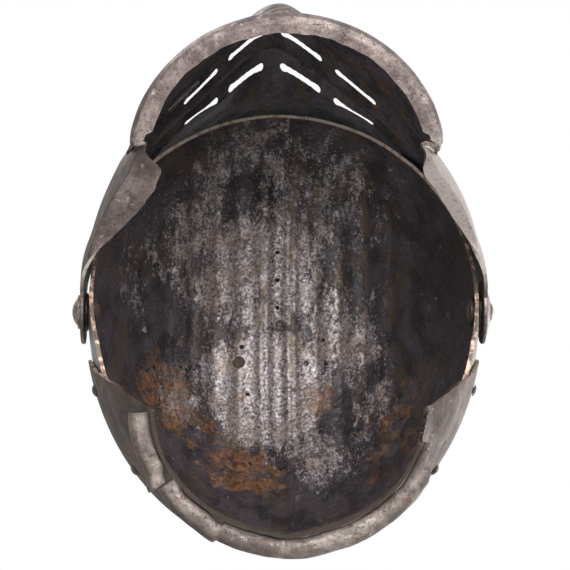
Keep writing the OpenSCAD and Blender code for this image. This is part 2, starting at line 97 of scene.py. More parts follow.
floor_half = 3
corners = [(floor_half * x, floor_half * y, 0) for x, y in ((-1, -1), (1, -1), (1, 1), (-1, 1))]
floor_mesh = bpy.data.meshes.new("studio_floor")
floor_mesh.from_pydata(corners, [], [(0, 1, 2, 3)])
floor = bpy.data.objects.new("studio_floor", floor_mesh)
bpy.context.scene.collection.objects.link(floor)
paper = bpy.data.materials.new("studio_paper")
paper.use_nodes = True
tree = paper.node_tree
tree.nodes.clear()
rays = add(tree, "ShaderNodeLightPath")
side = add(tree, "ShaderNodeNewGeometry")
from_above = add(tree, "ShaderNodeMath",
                 {0: rays.outputs["Is Camera Ray"], 1: side.outputs["Backfacing"]},
                 operation="SUBTRACT", use_clamp=True)
sheet = add(tree, "ShaderNodeBsdfDiffuse", {"Color": linear("F4F3F1")})
clear = add(tree, "ShaderNodeBsdfTransparent")
seen = add(tree, "ShaderNodeMixShader",
           {0: from_above.outputs[0], 1: clear.outputs[0], 2: sheet.outputs[0]})
add(tree, "ShaderNodeOutputMaterial", {"Surface": seen.outputs[0]})
floor_mesh.materials.append(paper)

world = bpy.data.worlds.new("studio")
bpy.context.scene.world = world
world.use_nodes = True
tree = world.node_tree
tree.nodes.clear()
rays = add(tree, "ShaderNodeLightPath")
either = add(tree, "ShaderNodeMath",
             {0: rays.outputs["Is Camera Ray"], 1: rays.outputs["Is Transmission Ray"]},
             operation="MAXIMUM")
bright = add(tree, "ShaderNodeMath", {0: either.outputs[0], 1: rays.outputs["Is Glossy Ray"]},
             operation="MAXIMUM")
plain = add(tree, "ShaderNodeBackground", {"Color": (1, 1, 1, 1), "Strength": 0.38})
white = add(tree, "ShaderNodeBackground", {"Color": (1, 1, 1, 1), "Strength": 1.0})
mixed = add(tree, "ShaderNodeMixShader", {0: bright.outputs[0], 1: plain.outputs[0], 2: white.outputs[0]})
add(tree, "ShaderNodeOutputWorld", {"Surface": mixed.outputs[0]})


def softbox(name, place, target, width, watts):
    """A square area lamp of that width in metres, at a place of the head frame, facing the target,
    both in millimetres."""
    lamp = bpy.data.objects.new(name, bpy.data.lights.new(name, "AREA"))
    lamp.data.size = width
    lamp.data.energy = watts
    bpy.context.scene.collection.objects.link(lamp)
    start, end = Vector(stood(place)), Vector(stood(target))
    facing = (end - start).to_track_quat("-Z", "Y").to_matrix().to_4x4()
    lamp.matrix_world = Matrix.Translation(start) @ facing


softbox("softbox_under_front", [20, -760, -900], [0, 30, 110], 0.9, 14)
softbox("softbox_under_right", [1000, -500, -800], [0, 0, 0], 1.3, 14)
softbox("softbox_under_left", [-400, 300, -1100], [0, 0, 90], 0.4, 3.5)
softbox("softbox_over_left", [-900, -1100, 1300], [0, 0, 40], 1.0, 10)
softbox("softbox_over_right", [1300, 500, 1100], [0, 0, 40], 1.0, 14)
bpy.context.scene.view_settings.view_transform = "Standard"

# The skull. One steel plate was raised over a stake into a bowl, then a low comb and five flutes
# a side were drawn along it with blunt chisels, so that each flute shows inside as well.
# It carries the pivots at the ears and rivets at the nape.
half = np.array([103.0, 125.0, 127.0])
plate_t = 2.0
fan_axis = np.array([27 / half[1], -47 / half[2]])
brow_share, rear_share = 62 / half[2], -46 / half[2]
fan_from = math.atan2(brow_share - fan_axis[1], fan_axis[0] + math.sqrt(1 - brow_share ** 2))
fan_to = math.atan2(rear_share - fan_axis[1], fan_axis[0] - math.sqrt(1 - rear_share ** 2))
ear_cut = 15
comb_half, comb_h = 9.0, 3.0
flute_count, flute_pitch, flute_h, flute_fall = 5, 14.2, 2.2, 0.5
fluted_half = comb_half + flute_count * flute_pitch


def smooth(t):
    """The share t held between 0 and 1, eased in and out: 3 t squared less 2 t cubed."""
    t = np.clip(t, 0, 1)
    return t * t * (3 - 2 * t)


def ripple(points, size, seed, octaves=3):
    """Soft unevenness between about -1 and 1: a sum of sines in eight random directions, the
    wavelength near size millimetres and halved for each octave."""
    rng = np.random.default_rng(seed)
    total = np.zeros(points.shape[:-1])
    for octave in range(octaves):
        ways = rng.normal(size=(8, 3))
        ways *= (2 * math.pi * 2 ** octave / size / np.linalg.norm(ways, axis=1))[:, None]
        phases = rng.uniform(0, 2 * math.pi, 8)
        total += np.sin(points @ ways.T + phases).sum(-1) / 8 / 1.6 ** octave
    return total


def flute_rise(s):
    """Height over the plate at s millimetres from the middle: a rounded comb with a groove beside it,
    then between two ridges one less the sine of the way across, lower by half at the last ridge. It is
    the mean of four points 1 mm apart, since a blunt chisel leaves no sharp line."""
    total = 0 * s
    for beside in (-1.5, -0.5, 0.5, 1.5):
        at = np.abs(s + beside)
        comb = np.interp(at, [0, 1.5, 3.1, 4.7, 6.3, 7.6, comb_half],
                         [comb_h, 2.94, 2.55, 1.35, 0.15, 0.5, flute_h])
        way = (at - comb_half) / flute_pitch
        wave = flute_h * (1 - flute_fall * way / flute_count) * (1 - np.abs(np.sin(math.pi * way)))
        total = total + np.where(at < comb_half, comb, np.where(way <= flute_count, wave, 0)) / 4
    return total


def normals_of(grid):
    """Unit normals of a grid of points: the run along its columns crossed with that along its rows."""
    n = np.cross(np.gradient(grid, axis=1), np.gradient(grid, axis=0))
    return n / np.linalg.norm(n, axis=-1, keepdims=True)


def skull_bowl(u, s, side_way, lift):
    """The bowl as a fan of plane arcs about the line through both ear tips. The arc at share u of
    the swing cuts the ellipsoid in a circle, in shares of its half sizes. A column lies s millimetres
    from the middle, drawn in a little towards brow and nape, and past the flutes it goes on by
    side_way of what is left to the edge. The point is lifted along the ellipsoid's normal."""
    a = fan_from + (fan_to - fan_from) * u
    e = np.stack([-np.cos(a), np.sin(a)], -1)
    along = e @ fan_axis
    foot = fan_axis - along[..., None] * e
    r = np.sqrt(1 - (foot ** 2).sum(-1))
    ear = ear_cut / half[1] * math.cos((fan_to - fan_from) / 2) / np.cos(a - (fan_from + fan_to) / 2)
    full = np.arccos((along + ear) / r)
    draw = 1 - 0.1 * np.abs(2 * u - 0.9) ** 2
    k = np.abs(s)
    edge = np.minimum(full, np.arcsin(draw * fluted_half / half[0] / r))
    inner = np.arcsin(np.minimum(1, draw * np.minimum(k, fluted_half) / half[0] / r))
    psi = np.where(side_way > 0, edge + (full - edge) * side_way, np.minimum(inner, full))
    yz = foot + e * (r * np.cos(psi))[..., None]
    q = np.stack([np.sign(s) * r * np.sin(psi), yz[..., 0], yz[..., 1]], -1)
    n = q / half
    n /= np.linalg.norm(n, axis=-1, keepdims=True)
    column = (np.interp(k, [0, comb_half, fluted_half], [0, 3, 23]) + 7 * np.clip(side_way, 0, 1)) / 30
    fade = smooth((u - 0.04) / 0.09) * smooth((0.86 - 0.08 * column - u) / 0.14)
    rise = flute_rise(k) * fade * (side_way <= 0)
    return q * half + (lift + rise)[..., None] * n, rise


def forged_plate(name, outer, inner, finishes, kept=None, marks=None):
    """A closed plate between two grids of points: outer faces, inner faces turned the other way, and
    a wall wherever a kept cell meets an open one or the rim. Its finishes are for outside, inside
    and wall, and each mark is a number at every point of the grid, kept as an attribute."""
    rows, cols = outer.shape[:2]
    cell = np.ones((rows - 1, cols - 1), bool) if kept is None else kept
    ids = np.arange(rows * cols).reshape(rows, cols)
    a, b, c, d = ids[:-1, :-1], ids[:-1, 1:], ids[1:, 1:], ids[1:, :-1]
    front = np.stack([a, b, c, d], -1)[cell]
    back = np.stack([a, d, c, b], -1)[cell] + rows * cols
    closed = np.zeros((rows + 1, cols + 1), bool)
    closed[1:-1, 1:-1] = cell
    walls = []
    for beyond, p, q in ((closed[:-2, 1:-1], b, a), (closed[2:, 1:-1], d, c),
                         (closed[1:-1, :-2], a, d), (closed[1:-1, 2:], c, b)):
        rim = cell & ~beyond
        walls.append(np.stack([p[rim], q[rim], q[rim] + rows * cols, p[rim] + rows * cols], -1))
    walls = np.concatenate(walls)
    faces = np.concatenate([front, back, walls])
    points = stood(np.concatenate([outer.reshape(-1, 3), inner.reshape(-1, 3)]))
    used, faces = np.unique(faces, return_inverse=True)
    faces = faces.reshape(-1, 4)
    mesh = bpy.data.meshes.new(name)
    mesh.from_pydata(points[used], [], faces)
    mesh.polygons.foreach_set("use_smooth", np.ones(len(faces), bool))
    slots = np.repeat([0, 1, 2], [len(front), len(back), len(walls)])
    for finish in finishes:
        mesh.materials.append(finish)
    mesh.polygons.foreach_set("material_index", slots)
    for mark, values in (marks or {}).items():
        numbers = mesh.attributes.new(mark, "FLOAT", "POINT")
        numbers.data.foreach_set("value", np.tile(values.ravel(), 2)[used])
    mesh.update()
    edges = mesh.attributes.new("sharp_edge", "BOOLEAN", "EDGE")
    ends = np.zeros(len(mesh.edges) * 2, int)
    mesh.edges.foreach_get("vertices", ends)
    wall_faces = faces[len(front) + len(back):]
    wall_ends = np.concatenate([wall_faces[:, [k, k + 1]] for k in (0, 2)])
    wall_ends = set(map(tuple, np.sort(wall_ends, 1)))
    edges.data.foreach_set("value", [tuple(e) in wall_ends for e in np.sort(ends.reshape(-1, 2), 1)])
    piece = bpy.data.objects.new(name, mesh)
    bpy.context.scene.collection.objects.link(piece)
    return piece


def millimetres(tree):
    """Object coordinates in millimetres, for patterns whose scale is one over a real size."""
    place = add(tree, "ShaderNodeTexCoord")
    return add(tree, "ShaderNodeVectorMath", {0: place.outputs["Object"], 1: (1000, 1000, 1000)},
               operation="MULTIPLY").outputs[0]


def speckle(tree, where, size, low, high, detail=4.0, stretch=(1, 1, 1), rough=0.6, lift=0.0):
    """A mask from 0 to 1: noise whose grain is size millimetres, raised by lift and eased between
    two of its levels."""
    drawn = add(tree, "ShaderNodeVectorMath", {0: where, 1: stretch}, operation="MULTIPLY").outputs[0]
    noise = add(tree, "ShaderNodeTexNoise",
                {"Vector": drawn, "Scale": 1 / size, "Detail": detail, "Roughness": rough})
    level = add(tree, "ShaderNodeMath", {0: noise.outputs[0], 1: lift}, operation="ADD").outputs[0]
    return add(tree, "ShaderNodeMapRange", {"Value": level, "From Min": low, "From Max": high},
               interpolation_type="SMOOTHSTEP").outputs[0]


def near(tree, where, centre, reach, soft, share=1.0):
    """A mask that is its share at a point of the head frame and falls to 0 at reach millimetres, on
    a soft edge."""
    spot = [float(v) * 1000 for v in stood(centre)]
    far = add(tree, "ShaderNodeVectorMath", {0: where, 1: spot}, operation="DISTANCE").outputs["Value"]
    return add(tree, "ShaderNodeMapRange",
               {"Value": far, "From Min": reach, "From Max": reach * (1 - soft), "To Max": share},
               interpolation_type="SMOOTHSTEP").outputs[0]


def strongest(tree, where, spots):
    """The largest of several such masks, each given as its centre, reach, softness and share."""
    whole = 0.0
    for spot in spots:
        whole = add(tree, "ShaderNodeMath", {0: whole, 1: near(tree, where, *spot)},
                    operation="MAXIMUM").outputs[0]
    return whole


def overlap(tree, masks):
    """Masks and shares multiplied: full only where every one of them is."""
    whole = masks[0]
    for mask in masks[1:]:
        whole = add(tree, "ShaderNodeMath", {0: whole, 1: mask}, operation="MULTIPLY").outputs[0]
    return whole


def painted(tree, ground, coats):
    """Coats laid in turn over a ground, which is a colour or a number: each coat is a mask, the
    share of that mask that covers, and the coat's own colour or number."""
    is_number = isinstance(ground, float)
    for mask, share, coat in coats:
        if share != 1:
            mask = overlap(tree, [mask, share])
        sockets = {0: mask, 2: ground, 3: coat} if is_number else {0: mask, 6: ground, 7: coat}
        mix = add(tree, "ShaderNodeMix", sockets, data_type="FLOAT" if is_number else "RGBA")
        ground = mix.outputs[0 if is_number else 2]
    return ground


def raised(tree, height, masks):
    """A height for the bump, with each mask times its own rise added to it."""
    for mask, rise in masks:
        height = add(tree, "ShaderNodeMath", {0: mask, 1: rise, 2: height},
                     operation="MULTIPLY_ADD").outputs[0]
    return height


def new_finish(name):
    """An empty material, its shader tree and its Principled shader."""
    finish = bpy.data.materials.new(name)
    finish.use_nodes = True
    tree = finish.node_tree
    tree.nodes.clear()
    skin = add(tree, "ShaderNodeBsdfPrincipled")
    add(tree, "ShaderNodeOutputMaterial", {"Surface": skin.outputs[0]})
    return finish, tree, skin


def blackened_inside(name, bright, rusty, torn=(), sound=0.0, oiled=0.4, dull=0.42):
    """Raised steel left black from the fire and oiled for centuries: blue-black scale that shines
    through the oil, flaked off in crisp islands down to silver grey, brown along the flutes, orange
    where it rusts, and black in the tears. The flaking is heaviest at the bright places, which are
    partly wear where it was handled and partly painted highlight. Each bright, rusty or torn place
    is its centre, reach, softness and share. Sound is how much less of the scale has flaked, oiled
    the share of oil on it, and dull the roughness of the scale."""
    finish, tree, skin = new_finish(name)
    mm = millimetres(tree)
    scale = painted(tree, linear("2A262B"), [
        (speckle(tree, mm, 15, 0.4, 0.62, detail=6), 1, linear("50484F")),
        (speckle(tree, mm, 12, 0.5, 0.6, detail=8, rough=0.7, stretch=(1, 0.4, 0.4)), 0.65,
         linear("514334")),
        # Painted shade: the scale darkens towards the side wall at the wearer's left, where little light
        # reaches.
        (near(tree, mm, [110, -10, 40], 75, 0.8), 0.6, linear("161213"))])

    # The scale flakes in streaks along the flutes and in fine flecks, most at the bright places: partly
    # wear from handling and partly painted highlight, most of all low in the middle of the bowl.
    streaks = speckle(tree, mm, 13, 0.42, 0.58, detail=8, rough=0.7, stretch=(1, 0.3, 0.3))
    streaks = painted(tree, -0.055 - sound, [(streaks, 1, 0.035 - sound)])
    lift = raised(tree, streaks, [(strongest(tree, mm, bright), 0.19)])
    bare = speckle(tree, mm, 6, 0.62, 0.66, detail=10, rough=0.84, stretch=(1, 0.6, 0.6), lift=lift)
    fine = overlap(tree, [speckle(tree, mm, 1.5, 0.65, 0.69, detail=5, rough=0.75, lift=lift), 0.8])
    fleck = add(tree, "ShaderNodeMath", {0: bare, 1: fine}, operation="MAXIMUM").outputs[0]
    silver = painted(tree, linear("5E5557"), [
        (speckle(tree, mm, 1.8, 0.4, 0.62, detail=8, rough=0.8), 1, linear("EADFE0")),
        (speckle(tree, mm, 16, 0.45, 0.6), 0.45, linear("B09C8A"))])

    # Rust grows only near its places, and never covers more than half of what lies under it.
    rust_zone = strongest(tree, mm, rusty)
    rust = speckle(tree, mm, 10, 0.6, 0.68, detail=9, rough=0.72, stretch=(0.6, 1, 1),
                   lift=overlap(tree, [rust_zone, 0.2]))
    cover = add(tree, "ShaderNodeMath", {0: overlap(tree, [rust_zone, 3.0]), 1: 0.5},
                operation="MINIMUM").outputs[0]
    rust = overlap(tree, [rust, cover])
    browns = painted(tree, linear("4E2814"), [
        (speckle(tree, mm, 3, 0.42, 0.6, detail=8, rough=0.75), 1, linear("B07030")),
        (speckle(tree, mm, 14, 0.5, 0.6), 1, linear("6B5230"))])

    # The tears have jagged outlines, so their places are read through a coarse noise.
    jag = 7
    jagged = add(tree, "ShaderNodeTexNoise", {"Vector": mm, "Scale": 0.4, "Detail": 5}).outputs["Color"]
    moved = add(tree, "ShaderNodeVectorMath", {0: jagged, 1: [jag] * 3, 2: mm},
                operation="MULTIPLY_ADD").outputs[0]
    moved = add(tree, "ShaderNodeVectorMath", {0: moved, 1: [jag / 2] * 3},
                operation="SUBTRACT").outputs[0]
    tear = strongest(tree, moved, torn)

    ridge = add(tree, "ShaderNodeAttribute", attribute_name="ridge").outputs["Fac"]
    ridge_wear = speckle(tree, mm, 9, 0.4, 0.55, detail=7, rough=0.7, stretch=(1, 0.3, 0.3))
    ridge_brown = overlap(tree, [ridge, ridge_wear, near(tree, mm, [10, -25, 120], 92, 0.6)])
    gold = overlap(tree, [speckle(tree, mm, 1.7, 0.6, 0.66, detail=4, rough=0.7),
                          speckle(tree, mm, 20, 0.45, 0.6)])
    colour = painted(tree, scale, [
        (fleck, 1, silver),
        (speckle(tree, mm, 15, 0.58, 0.61, detail=10, rough=0.8), 0.6, linear("262328")),
        (ridge_brown, 0.75, linear("75604C")),
        (speckle(tree, mm, 1.3, 0.5, 0.62, detail=6, rough=0.8), 0.75, linear("1C181A")),
        (gold, 0.7, linear("8A7250")),
        (rust, 1, browns),
        (tear, 1, linear("0C0A0A"))])
    tree.links.new(colour, skin.inputs["Base Color"])
    tree.links.new(painted(tree, 0.25, [(fleck, 1, 0.5), (rust, 1, 0.0)]), skin.inputs["Metallic"])
    tree.links.new(painted(tree, dull, [(rust, 1, 0.85), (fleck, 1, 0.33)]), skin.inputs["Roughness"])
    skin.inputs["Coat Weight"].default_value = oiled
    skin.inputs["Coat Roughness"].default_value = 0.24

    height = raised(tree, speckle(tree, mm, 1.6, 0.3, 0.75, detail=5),
                    [(rust, 1.5), (fleck, -0.8), (tear, -3.2)])
    fine_bump = add(tree, "ShaderNodeBump", {"Height": height, "Distance": 0.00028, "Strength": 0.6})
    hammer_marks = speckle(tree, mm, 9, 0.3, 0.7, detail=2)
    bump = add(tree, "ShaderNodeBump", {"Height": hammer_marks, "Distance": 0.0009,
                                        "Strength": 0.5, "Normal": fine_bump.outputs[0]})
    tree.links.new(bump.outputs[0], skin.inputs["Normal"])
    tree.links.new(bump.outputs[0], skin.inputs["Coat Normal"])
    return finish


def worn_outside(name, tone, dark, warm, metallic=0.75, side_shade=0.0, aged=0.0, highlit_places=()):
    """Steel that was burnished bright and then turned brown with age: a soft grey-brown ground, darker
    clouds with ragged edges, a few worn bright places, rust stains and crisp fine pits. By its share a
    darker brown skin of painted shade lies on all that faces the wearer's right, where little light
    falls, and the same skin lies thinner, by the share aged, on the rest. Lighter patches of painted
    highlight lie at the given places."""
    finish, tree, skin = new_finish(name)
    mm = millimetres(tree)
    ground = painted(tree, linear(tone), [
        (speckle(tree, mm, 22, 0.35, 0.7), 1, linear(dark)),
        (speckle(tree, mm, 7, 0.46, 0.62, detail=8, rough=0.7), 0.8, linear(dark)),
        (speckle(tree, mm, 5, 0.58, 0.68, detail=8, rough=0.7), 0.65, linear("B8A9A4")),
        (speckle(tree, mm, 9, 0.58, 0.66, detail=8, rough=0.7), 0.7, linear(warm)),
        # Painted highlight: lighter patches at the given places.
        (strongest(tree, mm, highlit_places), 1, linear("BEB2AD"))])
    gloss = [(speckle(tree, mm, 11, 0.3, 0.7), 1, 0.54)]
    if side_shade:
        # Painted shade: a darker brown skin on all that faces the wearer's right, where little light falls.
        shaded_way = (-0.94, 0.34, 0)
        surface = add(tree, "ShaderNodeTexCoord")
        facing = add(tree, "ShaderNodeVectorMath", {0: surface.outputs["Normal"], 1: shaded_way},
                     operation="DOT_PRODUCT").outputs["Value"]
        facing_shade = add(tree, "ShaderNodeMapRange",
                     {"Value": facing, "From Min": 0.3, "From Max": 0.75, "To Min": aged},
                     interpolation_type="SMOOTHSTEP").outputs[0]
        patchy = painted(tree, 1.0, [(speckle(tree, mm, 6, 0.5, 0.64, detail=8, rough=0.75), 1, 0.72)])
        brown = overlap(tree, [facing_shade, side_shade, patchy])
        side_shade_tone = painted(tree, linear("2B2421"), [
            (speckle(tree, mm, 12, 0.4, 0.6, detail=8, rough=0.7), 1, linear("4B3C33"))])
        ground = painted(tree, ground, [(brown, 1, side_shade_tone)])
        gloss.append((brown, 1, 0.85))
        tree.links.new(painted(tree, metallic, [(brown, 1, 0.0)]), skin.inputs["Metallic"])
    else:
        skin.inputs["Metallic"].default_value = metallic
    pits = speckle(tree, mm, 1.5, 0.57, 0.64, detail=6, rough=0.75)
    tree.links.new(painted(tree, ground, [(pits, 0.7, linear("2A2422"))]), skin.inputs["Base Color"])
    tree.links.new(painted(tree, 0.36, gloss), skin.inputs["Roughness"])
    height = raised(tree, speckle(tree, mm, 4, 0.3, 0.7, detail=5), [(pits, -1.3)])
    bump = add(tree, "ShaderNodeBump", {"Height": height, "Distance": 0.0004, "Strength": 0.5})
    tree.links.new(bump.outputs[0], skin.inputs["Normal"])
    return finish


def bare_edge(name, tone, dark, worn_and_lit, dull="5F5047"):
    """The cut edge of the sheet: dull brown-grey, paler towards the given places, with darker nicks over
    both. On the nape and rim edges the paler tone is wear where it was handled; on the brow and visor
    edges it is partly that wear and partly painted highlight."""
    finish, tree, skin = new_finish(name)
    mm = millimetres(tree)
    colour = painted(tree, linear(dull), [
        (strongest(tree, mm, worn_and_lit), 1, linear(tone)),
        (speckle(tree, mm, 4, 0.48, 0.62, detail=6), 1, linear(dark))])
    tree.links.new(colour, skin.inputs["Base Color"])
    skin.inputs["Metallic"].default_value = 0.4
    skin.inputs["Roughness"].default_value = 0.5
    return finish


inside_steel = blackened_inside(
    "fire_black_steel_inside",
    # The bright places are partly worn flaking and partly painted highlight; the strongest, low in the middle
    # of the bowl, is painted highlight.
    bright=[([-45, -40, 105], 50, 0.7, 0.75), ([-10, -22, 121], 60, 0.6, 1.15),
            ([29, 16, 121], 54, 0.7, 0.9), ([-6, 46, 116], 52, 0.5, 1.45),
            ([20, 80, 90], 44, 0.8, 0.8), ([0, -60, 100], 85, 0.6, 0.65),
            ([-75, -20, 80], 46, 0.8, 0.5), ([55, 62, 84], 40, 0.8, 0.5),
            ([-56, 50, 90], 34, 0.8, 0.8)],
    rusty=[([-62, 49, 84], 36, 0.6, 0.95), ([-23, 90, 82], 36, 0.7, 1.0),
           ([-40, 75, 85], 60, 0.8, 0.5), ([24, 51, 110], 13, 0.5, 1.0),
           ([62, 71, 70], 46, 0.7, 0.5)],
    torn=[(place, wide, 0.4, 1) for place, wide in (
        ([-77, 32, 74], 2), ([-74, 33, 78], 2), ([-71, 32, 83], 2), ([-56, 33, 98], 1.6),
        ([-53, 34, 101], 2.4), ([-49, 33, 104], 2.2), ([-46, 33, 106], 1.6), ([-20, 86, 85], 1.4),
        ([-16, 87, 86], 1.5), ([-12, 88, 86], 1.2), ([-32, 90, 76], 1.3), ([-29, 91, 76], 1.3),
        ([11, 30, 121], 1.3), ([17, 31, 119], 1.8), ([22, 30, 118], 1.4), ([28, 31, 116], 1.2),
        ([27, 91, 78], 1.8))] + [([68, 48, 78], 2.6, 0.25, 0.7), ([67, 68, 62], 2.6, 0.25, 0.7)])
skull_steel = worn_outside("aged_skull_steel", "5A5450", "373331", "5E4838")
# The brow's pale cut edge is partly wear and partly painted highlight.
brow_edge = bare_edge("worn_and_highlit_brow_edge", "F2DCCB", "C4A692", [([0, -105, 62], 130, 0.3, 1)])

u = np.linspace(0, 1, 171)[:, None]
reach = np.concatenate([np.linspace(0, fluted_half, 76), fluted_half + np.linspace(0, 1, 38)[1:]])
across = np.concatenate([-reach[:0:-1], reach])[None, :]
u, across = np.broadcast_arrays(u, across)
side_way = np.clip(np.abs(across) - fluted_half, 0, 1)
s = np.clip(across, -fluted_half, fluted_half)
outer, rise = skull_bowl(u, s, side_way, 0.0)
inner = skull_bowl(u, s, side_way, -plate_t)[0]
hammered = 0.5 * ripple(outer, 60, 3) + 0.18 * ripple(outer, 17, 4)
bowl_normal = outer / half ** 2
bowl_normal /= np.linalg.norm(bowl_normal, axis=-1, keepdims=True)
calm = smooth(np.minimum(np.linalg.norm(outer[..., 1:], axis=-1), 40) / 40 - 0.3)
shift = (np.minimum(hammered, 0.3) * calm)[..., None] * bowl_normal
way = (np.abs(s) - comb_half) / flute_pitch
off_ridge = np.where(np.abs(s) < comb_half, comb_half - np.abs(s),
                     flute_pitch * np.abs(way - np.round(way)))
ridge_line = np.exp(-(off_ridge / 1.7) ** 2)
skull = forged_plate("fluted_skull", outer + shift, inner + shift, [skull_steel, inside_steel, brow_edge],
                     marks={"ridge": ridge_line * smooth(rise / 0.8)})


def bowl_ring(place, radius, corners, uneven=0.0):
    """A ring of corners about a point of the bowl, and the ellipsoid's normal there: the radius by
    the cosine and sine of the turn, square to that normal, and wavering by the share uneven."""
    normal = np.asarray(place, float) / half ** 2
    normal /= np.linalg.norm(normal)
    beside = np.cross(normal, [0, 0.3, 1.0])
    beside /= np.linalg.norm(beside)
    turn = np.linspace(0, 2 * math.pi, corners + 1)[:-1]
    far = (radius * (1 + uneven * np.sin(3 * turn + place[0])))[:, None]
    return place + far * (np.cos(turn)[:, None] * beside
                          + np.sin(turn)[:, None] * np.cross(normal, beside)), normal


def rod_faces(corners, first=0):
    """The sides and the two ends of a short rod between two rings, whose points start at first."""
    ids = first + np.arange(corners)
    after = np.roll(ids, -1)
    sides = np.stack([ids, after, after + corners, ids + corners], -1)
    return [list(side) for side in sides] + [list(ids[::-1]), list(ids + corners)]


def punched(piece, holes, corners=24, deep=12):
    """Takes round holes out of a plate: each a short, slightly uneven rod of that radius through a
    point of the bowl, along its normal. The cut gets the plate's wall finish."""
    points, faces = [], []
    for place, radius in holes:
        ring, normal = bowl_ring(place, radius, corners, uneven=0.06)
        faces += rod_faces(corners, first=len(points) * 2 * corners)
        points.append(np.concatenate([ring - deep * normal, ring + deep * normal]))
    mesh = bpy.data.meshes.new("punches")
    mesh.from_pydata(stood(np.concatenate(points)), [], faces)
    for _ in piece.data.materials:
        mesh.materials.append(None)
    mesh.polygons.foreach_set("material_index", np.full(len(faces), 2))
    punches = bpy.data.objects.new("punches", mesh)
    bpy.context.scene.collection.objects.link(punches)
    taken = piece.modifiers.new("holes", "BOOLEAN")
    taken.operation, taken.solver, taken.object = "DIFFERENCE", "MANIFOLD", punches
    done = bpy.data.meshes.new_from_object(piece.evaluated_get(bpy.context.evaluated_depsgraph_get()))
    piece.modifiers.clear()
    piece.data = done
    bpy.data.objects.remove(punches)


crest_holes = [([0, -33, 122.5], 1.3), ([0, -17, 125.8], 1.3), ([0, -1, 127], 1.3)]
lining_holes = [([27, 18, 121], 1.2), ([-21, 22, 122], 1.2), ([-18, 50, 115], 1.2)]
plug_hole = ([-23, 31, 119], 3.7)
punched(skull, crest_holes + lining_holes + [plug_hole])
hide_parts("skull")
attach(skull, "helmet")

# Painted shade in the holes. A dark crumbly disc, coloured as painted shade, sits deep in each small
# hole of the crest and the lining, so that no light comes through them and they read dark.
crest_depth, lining_depth, shade_disc_t = 1.6, -0.9, 0.6
hole_shade_finish, tree, skin = new_finish("painted_hole_shade")
shade_grain = painted(tree, linear("14100E"), [
    (speckle(tree, millimetres(tree), 0.5, 0.4, 0.6), 1, linear("2E241D"))])
tree.links.new(shade_grain, skin.inputs["Base Color"])
skin.inputs["Roughness"].default_value = 0.9
for count, (place, radius) in enumerate(crest_holes + lining_holes):
    ring, normal = bowl_ring(place, 1.12 * radius, 16)
    low = crest_depth if count < len(crest_holes) else lining_depth
    shade_disc_mesh = bpy.data.meshes.new(f"hole_shade_{count}")
    points = np.concatenate([ring + low * normal, ring + (low + shade_disc_t) * normal])
    shade_disc_mesh.from_pydata(stood(points), [], rod_faces(16))
    shade_disc_mesh.materials.append(hole_shade_finish)
    shade_disc = bpy.data.objects.new(f"hole_shade_{count}", shade_disc_mesh)
    bpy.context.scene.collection.objects.link(shade_disc)
    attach(shade_disc, "helmet")

# The nape plate. A plain steel plate laps over the back of the skull from ear to ear, is riveted
# to it, and draws in to the neck with a light keel. Its lower edge is notched and torn at the left.
nape_t, lap = 1.8, 0.4
neck_half, neck_back, neck_front, neck_drop = 67.5, 107.0, 46.0, 103.0
nape_top, nape_bend = -8.0, -50.0
nape_keel, nape_columns = 1.4, 36
rim_r = 5.2
neck_wall = 1.6 * rim_r


def keel(v):
    """The keel's height at share v of the way round: a soft hump at the middle, a bell curve."""
    return nape_keel * np.exp(-((v - 0.5) * nape_columns / 2) ** 2)


def neck_plan(v):
    """The neck outline at share v of the way round from the wearer's left: half an ellipse, by the
    cosine and sine of the share, with the keel at its middle."""
    return np.stack([neck_half * np.cos(math.pi * v),
                     neck_front + (neck_back - neck_front) * np.sin(math.pi * v) + keel(v)], -1)


def nape_sheet(z, v):
    """The plate at height z and share v round: down to the bend it lies off the skull's ellipsoid, and
    below that its level line blends, eased, into the neck outline."""
    held = np.maximum(z, nape_bend)
    k = np.sqrt(1 - (held / half[2]) ** 2)
    front = 24 + 8 * (nape_top - held) / (nape_top - nape_bend)
    f = np.arcsin(front / half[1] / k)
    a = f + (math.pi - 2 * f) * v
    q = np.stack([k * np.cos(a), k * np.sin(a), held / half[2] + 0 * a], -1)
    n = q / half
    n /= np.linalg.norm(n, axis=-1, keepdims=True)
    upper = q * half + (lap + nape_t) * n
    upper[..., 1] += keel(v)
    t = smooth((nape_bend - z) / (neck_drop - neck_wall + nape_bend))[..., None]
    xy = upper[..., :2] * (1 - t) + neck_plan(v) * t
    return np.concatenate([xy, np.minimum(upper[..., 2], z)[..., None]], -1)


# The nape plate's darker skin on the side facing the wearer's right is painted shade.
nape_steel = worn_outside("aged_nape_steel", "604A3F", "40302A", "6E4426", side_shade=1.0, aged=0.4)
nape_inside = worn_outside("browned_nape_inside", "5C524C", "2B2625", "6A4A34", metallic=0.5)
nape_edge = bare_edge("browned_nape_edge", "8E7868", "2A201B",
                      [([100, 20, -30], 50, 0.5, 1), ([-100, 20, -30], 50, 0.5, 1)], "33261F")
z = np.concatenate([np.linspace(nape_top, nape_bend, 34),
                    np.linspace(nape_bend, -neck_drop, 44)[1:]])[:, None]
v = np.linspace(1, 0, 220)[None, :]
z, v = np.broadcast_arrays(z, v)
ragged = 0.006 * smooth((np.abs(v - 0.5) - 0.4) / 0.1) * np.sign(v - 0.5)
ragged *= ripple(np.stack([z, 0 * z, 0 * z], -1), 22, 12, octaves=4)
notch = 8 * np.exp(-((v - 0.023) / 0.005) ** 2)
tear = (10 + 3 * np.sin(260 * v)) * smooth((v - 0.03) / 0.01) * smooth((0.09 - v) / 0.02)
nape_outer = nape_sheet(z + (notch + tear) * smooth((-75 - z) / 28), v + ragged)
nape_normal = normals_of(nape_outer)
low_share = smooth((nape_bend - z) / 30)
